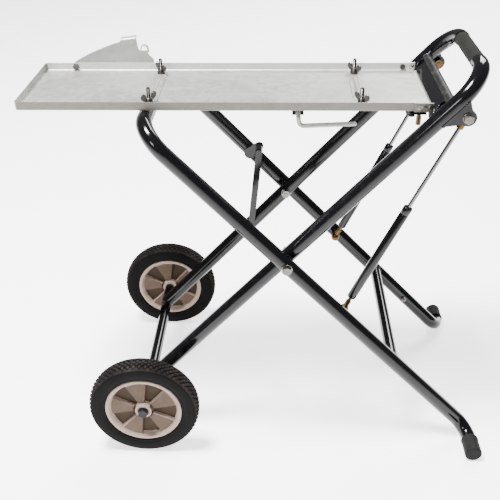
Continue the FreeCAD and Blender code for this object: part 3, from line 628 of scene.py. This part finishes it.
def rimMesh(name, middle):
    look = rimLook
    low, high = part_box("wheel_rim_near")
    outer = (high.z - low.z) / 2
    boss = (high.y - low.y) / 2
    boreLow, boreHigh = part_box("wheel_bush_near")
    bore = (boreHigh.z - boreLow.z) / 2
    lip = boss - look["lipInset"]
    panel = lip - look["panelDepth"]
    angles, offsets = rimAngles()
    lipFoot = outer - look["lipWidth"] - look["lipSlope"]
    # rows of one face, from the bore out to the rim's edge: (radius, height, lobe share)
    bossEdge = look["bossRadius"]
    rows = [(bore, boss - 1.0 * mm, 0), (bore + 0.8 * mm, boss - 0.2 * mm, 0), (bore + 1.6 * mm, boss, 0),
            (bossEdge - 2.2 * mm, boss, 0), (bossEdge - 0.8 * mm, boss - 0.4 * mm, 0),
            (bossEdge, boss - 1.6 * mm, 0), (bossEdge + 1.6 * mm, panel + 2 * mm, 0.0),
            (bossEdge + 2.6 * mm, panel + 0.5 * mm, 0.35), (bossEdge + 3.6 * mm, panel, 0.8),
            (bossEdge + 5.0 * mm, panel, 1)]
    first, last = bossEdge + 8 * mm, lipFoot - 5 * mm
    rows += [(first + (last - first) * i / 9, panel, 1) for i in range(10)]
    slopeTop = lipFoot + look["lipSlope"]
    rows += [(lipFoot - 3.0 * mm, panel, 1), (lipFoot - 1.6 * mm, panel + 0.2 * mm, 1),
             (lipFoot - 0.4 * mm, panel + 1.2 * mm, 1), (lipFoot + 0.8 * mm, panel + 3.2 * mm, 0.8),
             (slopeTop - 1.6 * mm, lip - 2.2 * mm, 0), (slopeTop - 0.4 * mm, lip - 0.4 * mm, 0),
             (slopeTop + 0.8 * mm, lip, 0), (outer - 1.4 * mm, lip, 0), (outer - 0.5 * mm, lip - 0.4 * mm, 0),
             (outer, lip - 1.4 * mm, 0), (outer, 1 * mm, 0)]
    points = []
    for side in (-1, 1):
        ordered = rows if side < 0 else list(reversed(rows))
        for radius, height, share in ordered:
            for angle, offset in zip(angles, offsets):
                lobe = 1 - smoothStep(offset, look["topHalf"], look["footHalf"])
                up = height
                if share:
                    up = height + look["lobeRise"] * lobe * share
                    if radius > lipFoot - 2 * mm:
                        up = max(height, panel + look["lobeRise"] * lobe * share)
                out, rise = radius * cos(angle), radius * sin(angle)
                points.append((axle.x + out, middle + side * up, axle.z + rise))
    faces = gridFaces(2 * len(rows), len(angles), closeRows=True)
    return fixNormals(meshFrom(name, points, faces))


rimLow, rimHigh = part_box("wheel_rim_near")
for side, middle in (("near", jointPlace["wheel_spin_near"].y), ("far", jointPlace["wheel_spin_far"].y)):
    mesh = rimMesh("moulded rim " + side, middle)
    body = "wheel_" + side
    makePiece("moulded_rim_" + side, mesh, rimPlastic, body, ["wheel_rim_" + side], 50)
    # painted shade low between the lobes; painted light on the lip, the boss and the ledges that face up
    mesh.materials.append(lowPlastic)
    mesh.materials.append(lipPlastic)
    look = rimLook
    lipStart = (rimHigh.z - rimLow.z) / 2 - look["lipWidth"] - look["lipSlope"] - look["lipMargin"]
    lowTop = (rimHigh.y - rimLow.y) / 2 - look["lipInset"] - look["panelDepth"] + look["lowRise"]
    for face in mesh.polygons:
        radius = hypot(face.center.x - axle.x, face.center.z - axle.z)
        if abs(face.center.y - middle) < lowTop and look["lowFrom"] < radius < look["lowTo"]:
            face.material_index = 1
        if radius > lipStart or radius < look["bossRadius"] or face.normal.z > look["litFacing"]:
            face.material_index = 2
print("rims made")


boltLook = {"chamfer": 0.94, "slope": 0.52, "turn": radians(12)}


def hexHead(name, place, axis, across, height):
    # a hexagon whose outer corners are turned off at a slope
    axis = axis.normalized()
    side = axis.orthogonal().normalized()
    other = axis.cross(side)
    ring = across / 2 * boltLook["chamfer"]
    count = 48
    points = []
    for row in range(5):
        for j in range(count):
            angle = 2 * pi * j / count
            fold = (angle + pi / 6) % (pi / 3) - pi / 6
            corner = across / 2 / cos(fold)
            top = height - max(corner - ring, 0) * boltLook["slope"]
            rings = ((corner, 0), (corner, top * 0.5), (corner, top), (ring, height), (ring * 0.55, height))
            radius, up = rings[row]
            spin = angle + boltLook["turn"]
            points.append(place + axis * up + (side * cos(spin) + other * sin(spin)) * radius)
    faces = gridFaces(5, count)
    faces.append(tuple(reversed(range(count))))
    faces.append(tuple(4 * count + j for j in range(count)))
    return fixNormals(meshFrom(name, points, faces))


# across the flats, head height, shank radius and length, and one flange's radius and thickness
boltSizes = {
    "pivot_bolts": {"across": 17 * mm, "head": 6.5 * mm, "shank": (5 * mm, 79.3 * mm)},
    "strut_ear_bolts": {"across": 17 * mm, "head": 6 * mm, "shank": (5 * mm, 5.6 * mm),
                        "flange": (10.5 * mm, 1.6 * mm)},
    "hinge_bolts": {"across": 13 * mm, "head": 5 * mm, "shank": (4 * mm, 17.4 * mm)},
    "leaf_bolts": {"across": 10 * mm, "head": 3.6 * mm, "shank": (3 * mm, 8 * mm)}}


def makeBolts(node, body, place):
    size = boltSizes[node]
    across = size["across"]
    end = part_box(node)[1].y
    seat = end - size["head"]
    parts = []
    for sign in (-1, 1):
        out = acrossStand * sign
        start = Vector((place.x, 0, place.z)) + out * seat
        parts.append(hexHead(node, start, out, across, size["head"]))
        radius, length = size["shank"]
        shank = [(radius * 0.8, -length), (radius, -length + radius * 0.25), (radius, 0.2 * mm)]
        parts.append(turned(node, shank, start, out, 28))
        if "flange" in size:
            radius, thick = size["flange"]
            rim = [(radius * 0.96, -thick), (radius, -thick * 0.8), (radius, -thick * 0.35),
                   (radius * 0.93, 0), (across * 0.3, 0.1 * mm)]
            parts.append(turned(node, rim, start, out, 40))
    makePiece("turned_" + node, fixNormals(joinMeshes(node, parts)), zinc, body, [node], 28)


makeBolts("pivot_bolts", "handle_frame", pivot)
makeBolts("strut_ear_bolts", "handle_frame", boxMiddle("strut_ear_bolts"))
makeBolts("hinge_bolts", "handle_frame", trayHinge)
makeBolts("leaf_bolts", "tray", boxMiddle("leaf_bolts"))
print("bolts made")


threadLook = {"radius": 4 * mm, "pitch": 1.25 * mm, "depth": 0.65 * mm, "lead": 1.5 * mm}


def threadedRod(name, start, axis, radius, length):
    rows = int(length / threadLook["pitch"] * 6)  # six rows to each turn of the thread
    sides = 20
    side = axis.orthogonal().normalized()
    other = axis.cross(side)
    points = []
    for i in range(rows + 1):
        along = length * i / rows
        ease = min(1.0, along / threadLook["lead"], (length - along) / threadLook["lead"])
        for j in range(sides):
            turn = along / threadLook["pitch"] - j / sides
            groove = abs((turn % 1.0) - 0.5) * 2
            spread = radius - threadLook["depth"] * (groove if ease >= 1 else 1 + 0.6 * (1 - ease))
            angle = 2 * pi * j / sides
            points.append(start + axis * along + (side * cos(angle) + other * sin(angle)) * spread)
    faces = gridFaces(rows + 1, sides)
    faces.append(tuple(reversed(range(sides))))
    faces.append(tuple(rows * sides + j for j in range(sides)))
    return meshFrom(name, points, faces)


studLow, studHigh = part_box("clamp_studs")
studs = []
for number in range(1, 5):
    place = jointPlace["wing_nut_turn_" + str(number)]
    start = Vector((place.x, place.y, studLow.z))
    studs.append(threadedRod("stud", start, upward, threadLook["radius"], studHigh.z - studLow.z))
studMesh = fixNormals(joinMeshes("threaded studs", studs))
makePiece("threaded_studs", studMesh, zinc, "tray", ["clamp_studs"], 25)

wingLook = {"hubFoot": 8.5 * mm, "hubTop": 6.3 * mm, "hubHeight": 11 * mm, "tipRadius": 6.4 * mm,
            "bore": 4.05 * mm, "tipOut": 12.9 * mm, "tipUp": 13.6 * mm, "thick": 2.6 * mm,
            "edge": 0.6 * mm, "turns": (50, 130, 130, 130)}


def wingOutline():
    look = wingLook
    points = [(4.6 * mm, 1.2 * mm), (8.6 * mm, 2.4 * mm), (13.2 * mm, 5.6 * mm)]
    for i in range(13):
        angle = radians(-65 + 215 * i / 12)
        points.append((look["tipOut"] + look["tipRadius"] * cos(angle),
                       look["tipUp"] + look["tipRadius"] * sin(angle)))
    return points + [(6.6 * mm, 11.6 * mm), (4.8 * mm, 9.6 * mm)]


def makeWingNut(number):
    look = wingLook
    node = "wing_nut_" + str(number)
    place = jointPlace["wing_nut_turn_" + str(number)]
    base = Vector((place.x, place.y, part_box(node)[0].z))
    inner, foot, top, height = look["bore"], look["hubFoot"], look["hubTop"], look["hubHeight"]
    hub = [(inner, 0), (foot * 0.94, 0), (foot, 0.8 * mm), (foot * 0.97, 2.2 * mm),
           (top * 1.04, height - 1.2 * mm), (top * 0.92, height),
           (inner + 0.6 * mm, height), (inner, height - 0.6 * mm)]
    parts = [turned(node, hub, base, upward, 40, closed=True)]
    start = radians(look["turns"][number - 1])
    for turn in (start, start + pi):
        out = Vector((cos(turn), sin(turn), 0))
        side = upward.cross(out)
        outline = [base + out * r + upward * z - side * look["thick"] / 2 for r, z in wingOutline()]
        parts.append(prism(node, outline, side * look["thick"]))
    mesh = fixNormals(joinMeshes(node, parts))
    piece = makePiece("cast_" + node, mesh, zinc, node, [node], 30)
    rounded(piece, look["edge"], 40)


for number in range(1, 5):
    makeWingNut(number)

strapLook = {"halfWidth": 13 * mm, "thick": 2.4 * mm, "corner": 6 * mm,
             "ribHalf": 5 * mm, "ribHeight": 4 * mm, "ribEnd": 72 * mm}


def strapMesh(name, middle, floor, halfLength):
    # a pressed strap: rounded ends, and a rib along its middle that dies out before the studs
    look = strapLook
    columns, rows = 27, 61
    points = []
    for level in (1, 0):
        for i in range(rows):
            v = 2 * i / (rows - 1) - 1
            along = halfLength * v
            corner = max(0.0, abs(along) - (halfLength - look["corner"]))
            cut = look["corner"] - sqrt(max(look["corner"] ** 2 - corner ** 2, 0))
            width = look["halfWidth"] - cut * 0.9
            for j in range(columns):
                u = 2 * j / (columns - 1) - 1
                x = width * u
                rise = 1 - smoothStep(abs(x), look["ribHalf"] * 0.45, look["ribHalf"] * 1.15)
                fade = 1 - smoothStep(abs(along), look["ribEnd"] - 9 * mm, look["ribEnd"])
                height = look["ribHeight"] * rise * fade + look["thick"] * level
                points.append(Vector((middle + x, along, floor + (height if level else 0.0))))
    top = gridFaces(rows, columns, closeColumns=False)
    shift = rows * columns
    low = [tuple(reversed(face)) for face in gridFaces(rows, columns, closeColumns=False, start=shift)]
    # the wall runs round the strap's edge and joins the two faces
    edge = list(range(columns))
    edge += [i * columns + columns - 1 for i in range(1, rows)]
    edge += [shift - 1 - i for i in range(1, columns)]
    edge += [i * columns for i in range(rows - 2, 0, -1)]
    wall = []
    for here, ahead in zip(edge, edge[1:] + edge[:1]):
        wall.append((here, ahead, ahead + shift, here + shift))
    return fixNormals(meshFrom(name, points, top + low + wall))


strapLow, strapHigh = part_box("clamp_straps")
straps = []
for number in ("1", "3"):
    straps.append(strapMesh("strap", jointPlace["wing_nut_turn_" + number].x, strapLow.z, strapHigh.y))
strapsMesh = joinMeshes("pressed straps", straps)
makePiece("pressed_straps", strapsMesh, strapZinc, "tray", ["clamp_straps"], 40)
print("studs, wing nuts and straps made")


latchLook = {"thick": 2.6 * mm, "tabDepth": 15.0 * mm, "lugWidth": 11.0 * mm, "bend": 3.0 * mm,
             "hookThick": 2.2 * mm, "tabLean": radians(7.6), "tabLength": 33, "edge": 0.5 * mm}


def makeLatch():
    look = latchLook
    hinge = jointPlace["latch_swing"]
    low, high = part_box("latch_plate")
    face = low.y
    thick = acrossStand * look["thick"]

    def at(x, z, y=0.0):
        return Vector((hinge.x + x * mm, face + y, hinge.z + z * mm))

    # the plate: a rounded heel at the pivot, a long rising edge, the finger tab's step, then the nose
    outline = [at(-9 * sin(radians(a)), -9 * cos(radians(a))) for a in range(0, 121, 20)]
    outline += [at(4, 13), at(20, 21.5), at(40, 31), at(60, 39), at(80, 46.5), at(100, 52.5), at(100.5, 55.5)]
    outline += [at(134.5, 60.0), at(135.5, 52), at(137, 41), at(139, 35), at(141, 33.2), at(144, 34)]
    outline.append(at(157, 34))
    outline += [at(158.5, 26), at(163, 21), at(168, 16), at(170, 8), at(166, -9)]
    parts = [prism("latch", outline, thick)]
    # the finger tab folds away from the front along the step's top edge
    rise = Vector((cos(look["tabLean"]), 0, sin(look["tabLean"])))
    bend = look["bend"]
    start = at(101, 52.2, look["thick"] / 2)
    line = [start, start + upward * 1.5 * mm]
    centre = line[-1] + acrossStand * bend
    for angle in [radians(a) for a in range(15, 91, 15)]:
        line.append(centre + (upward * sin(angle) - acrossStand * cos(angle)) * bend)
    line.append(line[-1] + acrossStand * (look["tabDepth"] - bend))
    parts.append(bentStrip("tab", line, look["thick"], rise * look["tabLength"] * mm))
    # the nose carries a small hook of the same sheet
    hook = [at(142.5, 33), at(142.8, 37)]
    hook += [at(150 - 7 * cos(radians(a)), 37.5 + 6.5 * sin(radians(a))) for a in range(20, 161, 20)]
    hook += [at(157.5, 36.5), at(158.6, 30)]
    parts.append(bentStrip("hook", hook, look["hookThick"], acrossStand * look["lugWidth"]))
    mesh = joinMeshes("sheet latch", parts)
    piece = makePiece("sheet_latch", mesh, latchSheet, "latch", ["latch_plate"], 30)
    rounded(piece, look["edge"], 50)


makeLatch()
print("latch made")


gripLook = {"wall": 2.0 * mm, "lump": 0.2 * mm, "endRadius": 1.6 * mm}


def makeGrip():
    # a straight foam sleeve with rounded ends and a slightly uneven skin
    look = gripLook
    low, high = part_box("handle_grip")
    middle = boxMiddle("handle_grip")
    outer = (high.x - low.x) / 2 - look["lump"]
    length = high.y - low.y
    crowd = [look["endRadius"] * k for k in (0.06, 0.18, 0.36, 0.6, 0.85)]
    runs = sorted([length * i / 50 for i in range(51)] + crowd + [length - c for c in crowd])
    path = [Vector((middle.x, low.y + run, middle.z)) for run in runs]
    radii = []
    for run in runs:
        ease = min(min(run, length - run) / look["endRadius"], 1.0)
        radii.append(outer - look["wall"] * 0.7 * (1 - sqrt(max(1 - (1 - ease) ** 2, 0.0))))
    mesh = swept("grip", path, radii, 56)
    for vertex in mesh.vertices:
        away = noise.noise(vertex.co * 90.0)
        vertex.co += vertex.normal * away * look["lump"]
    piece = makePiece("foam_grip", mesh, foam, "handle_frame", ["handle_grip"], 50)


makeGrip()

capLook = {"radius": 19.0 * mm, "length": 46.0 * mm, "endRound": 5.0 * mm}


def makeFootCaps():
    look = capLook
    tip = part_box("foot_caps")[1].y
    caps = []
    for sign in (-1, 1):
        out = acrossStand * sign
        mouth = footPlace + out * (tip - look["length"])
        radius, length, turn = look["radius"], look["length"], look["endRound"]
        profile = [(tubeRadius + 0.1 * mm, 0), (radius - 0.5 * mm, 0), (radius, 0.6 * mm), (radius, 4.0 * mm),
                   (radius - 0.5 * mm, 4.8 * mm), (radius - 0.9 * mm, 6 * mm),
                   (radius - 0.7 * mm, length * 0.5), (radius - 0.3 * mm, length - turn)]
        for angle in [radians(a) for a in range(15, 91, 15)]:
            profile.append((radius - 0.3 * mm - turn * (1 - cos(angle)), length - turn + turn * sin(angle)))
        profile.append((radius * 0.4, length))
        caps.append(turned("cap", profile, mouth, out, 72))
    mesh = fixNormals(joinMeshes("foot caps", caps))
    for vertex in mesh.vertices:
        vertex.co.z = max(vertex.co.z, 0.0)
    makePiece("moulded_feet", mesh, capRubber, "leg_frame", ["foot_caps"], 35)


makeFootCaps()

leverLook = {"radius": 4.5 * mm, "bend": 10 * mm, "drop": 24 * mm, "reach": 112 * mm,
             "startY": -20 * mm, "sideY": -110 * mm, "lean": 3 * mm, "endDrop": 19 * mm}


def makeLever():
    look = leverLook
    place = jointPlace["lever_pull"]
    corners = [Vector((place.x, look["startY"], place.z)), Vector((place.x, look["sideY"], place.z)),
               Vector((place.x + look["lean"], look["sideY"], place.z - look["drop"])),
               Vector((place.x + look["reach"], look["sideY"], place.z - look["endDrop"]))]
    path = roundedPath(corners, look["bend"], 12)
    radii = [look["radius"]] * len(path)
    heading = (path[-1] - path[-2]).normalized()
    tip = path.pop()
    radii.pop()
    # the free end is domed
    for a in range(0, 81, 16):
        path.append(tip - heading * look["radius"] * (1 - sin(radians(a))))
        radii.append(look["radius"] * cos(radians(a)))
    mesh = swept("lever", path, radii, 28)
    makePiece("bent_lever", mesh, galvanised, "lever", ["release_lever"], 40)


makeLever()
print("grip, feet and lever made")


strutLook = {"start": 32 * mm, "length": 238 * mm, "radius": 9.5 * mm, "bore": 7.9 * mm}


def makeBarrel(side):
    look = strutLook
    low = jointPlace["strut_swing_" + side]
    top = boxMiddle("strut_ear_bolts")
    line = Vector((top.x - low.x, 0, top.z - low.z)).normalized()
    radius, bore, end = look["radius"], look["bore"], look["start"] + look["length"]
    start = look["start"]
    # a domed foot, a rolled groove near the rod's end, and the end rolled in over the seal
    profile = [(3.0 * mm, start), (radius - 3.2 * mm, start), (radius - 1.2 * mm, start + 0.7 * mm),
               (radius - 0.3 * mm, start + 2.2 * mm), (radius, start + 4 * mm), (radius, end - 17 * mm),
               (radius - 0.5 * mm, end - 16 * mm), (radius - 0.9 * mm, end - 15 * mm),
               (radius - 0.5 * mm, end - 14 * mm), (radius, end - 13 * mm), (radius, end - 1.8 * mm),
               (radius - 0.5 * mm, end - 0.5 * mm), (bore + 0.7 * mm, end), (bore, end - 0.4 * mm),
               (bore, start + 4 * mm), (3.0 * mm, start + 3 * mm)]
    mesh = fixNormals(turned("barrel", profile, low, line, 48, closed=True))
    body = "strut_barrel_" + side
    makePiece("rolled_barrel_" + side, mesh, strutPaint, body, ["strut_barrel_" + side], 35)


for side in ("near", "far"):
    makeBarrel(side)
print("struts made")


weldLook = {"radius": 1.9 * mm, "ripple": 0.22, "pitch": 3.2 * mm,
            "crossBarRadius": 9.5 * mm, "axleRadius": 12.7 * mm, "lowBarRadius": 12.7 * mm,
            "earFrom": -44, "earRun": 66}  # the last two are millimetres along the handle tube


def weldBead(name, path, closed=False):
    # a run of overlapping ripples along a path of close points
    radii = []
    run = 0.0
    for i, place in enumerate(path):
        run += (place - path[i - 1]).length if i else 0.0
        wave = abs(sin(pi * run / weldLook["pitch"]))
        swell = noise.noise(place * 160.0) * 0.2
        radii.append(weldLook["radius"] * (1 + weldLook["ripple"] * (wave - 0.5) + swell))
    return swept(name, path, radii, 8, closed)


def weldRound(place, barRadius, tubeMiddle, direction, above, face=1):
    # where a cross bar along Y meets a tube that is square to it; face -1 is the tube's outer side
    path = []
    for i in range(96):
        angle = 2 * pi * i / 96
        offset = (direction * cos(angle) + above * sin(angle)) * barRadius
        gap = (place - pivot).dot(above) + offset.dot(above)
        depth = sqrt(max(tubeRadius ** 2 - gap ** 2, 0.0))
        y = tubeMiddle - (1 if tubeMiddle > 0 else -1) * depth * face
        path.append(Vector((place.x + offset.x, y, place.z + offset.z)))
    return weldBead("weld", path, True)


def makeWelds():
    look = weldLook
    bar = boxMiddle("cross_bar")
    lowBar = boxMiddle("lower_cross_tube")
    barPlace = Vector((bar.x, 0, bar.z))
    lowPlace = Vector((lowBar.x, 0, lowBar.z))
    beads = []
    legBeads = []
    for sign in (-1, 1):
        tube = sign * handleHalf
        beads.append(weldRound(barPlace, look["crossBarRadius"], tube, handleLine, handleUp))
        for face in (1, -1):
            beads.append(weldRound(axle, look["axleRadius"], tube, handleLine, handleUp, face))
        legBeads.append(weldRound(lowPlace, look["lowBarRadius"], sign * legHalf, legLine, legUp))
        # the strut ears stand on the underside of the handle tubes
        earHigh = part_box("strut_ears")[1]
        top = boxMiddle("strut_ear_bolts")
        along = (Vector((top.x, 0, top.z)) - pivot).dot(handleLine)
        for y in (earHigh.y + 0.4 * mm, earHigh.y - 4.4 * mm):  # one bead on either face of an ear
            depth = sqrt(max(tubeRadius ** 2 - (y - handleHalf) ** 2, 0.0))
            runs = [along + (look["earFrom"] + look["earRun"] * i / 80) * mm for i in range(81)]
            path = [onHandle(run, -depth - 0.3 * mm, sign * y) for run in runs]
            beads.append(weldBead("weld", path))
    handleMesh = joinMeshes("handle welds", beads)
    makePiece("handle_welds", handleMesh, blackPaint, "handle_frame", (), 60)
    legMesh = joinMeshes("leg welds", legBeads)
    makePiece("leg_welds", legMesh, blackPaint, "leg_frame", (), 60)


makeWelds()
print("welds made")


sceneLook = {"floor": (0.95, 0.95, 0.948), "floorHalf": 30.0, "floorDrop": 0.0005, "floorGlow": 2.0,
             "sky": (1.0, 1.0, 1.0), "skyStrength": 0.22}
lightLook = {
    "overhead": {"place": (-0.9, -0.4, 3.6), "target": (0, 0.2, 0), "size": (0.9, 0.9), "power": 620},
    "far wash": {"place": (1.5, 3.4, 3.4), "target": (0.3, 2.2, 0), "size": (2.0, 2.0), "power": 330},
    "front": {"place": (-1.4, -2.6, 2.2), "target": (0, 0, 0.4), "size": (0.7, 0.7), "power": 40}}


def makeFloor():
    size = sceneLook["floorHalf"]
    corners = [(-size, -size, 0), (size, -size, 0), (size, size, 0), (-size, size, 0)]
    mesh = meshFrom("floor", corners, [(0, 1, 2, 3)])
    floor = bpy.data.objects.new("floor", mesh)
    bpy.context.scene.collection.objects.link(floor)
    floor.location.z = -sceneLook["floorDrop"]
    material, tree, shader, place = startFinish("pale floor", specular=0.2)
    cloud = addNoise(tree, place, 1.5, 3.0)
    pale = tuple(c * 0.985 for c in sceneLook["floor"])
    tree.links.new(addBlend(tree, cloud, sceneLook["floor"], pale), shader.inputs["Base Color"])
    shader.inputs["Roughness"].default_value = 0.9
    shader.inputs["Emission Color"].default_value = (*sceneLook["floor"], 1)
    shader.inputs["Emission Strength"].default_value = sceneLook["floorGlow"]
    mesh.materials.append(material)


def makeLight(name, look):
    lamp = bpy.data.lights.new(name, "AREA")
    lamp.shape = "RECTANGLE"
    lamp.size, lamp.size_y = look["size"]
    lamp.energy = look["power"]
    holder = bpy.data.objects.new(name, lamp)
    holder.location = look["place"]
    heading = Vector(look["target"]) - Vector(look["place"])
    holder.rotation_euler = heading.to_track_quat("-Z", "Y").to_euler()
    bpy.context.scene.collection.objects.link(holder)


makeFloor()
world = bpy.data.worlds.new("studio")
bpy.context.scene.world = world
world.use_nodes = True
world.node_tree.nodes["Background"].inputs["Color"].default_value = (*sceneLook["sky"], 1)
world.node_tree.nodes["Background"].inputs["Strength"].default_value = sceneLook["skyStrength"]
for name, look in lightLook.items():
    makeLight(name, look)

cameraLook = {"place": (0.0229, -1.4834, 1.2885), "forward": (-0.03483, 0.85112, -0.52381),
              "right": (0.99935, 0.03398, -0.01124), "lens": 55.1}
lens = bpy.data.cameras.new("camera")
lens.lens = cameraLook["lens"]
lens.sensor_width = 36.0
lens.clip_start = 0.05
camera = bpy.data.objects.new("camera", lens)
bpy.context.scene.collection.objects.link(camera)
forward = Vector(cameraLook["forward"]).normalized()
right = Vector(cameraLook["right"]).normalized()
up = right.cross(forward).normalized()
right = forward.cross(up).normalized()
turn = Matrix((right, up, -forward)).transposed().to_4x4()
camera.matrix_world = Matrix.Translation(Vector(cameraLook["place"])) @ turn
bpy.context.scene.camera = camera
print("floor, light and camera set")
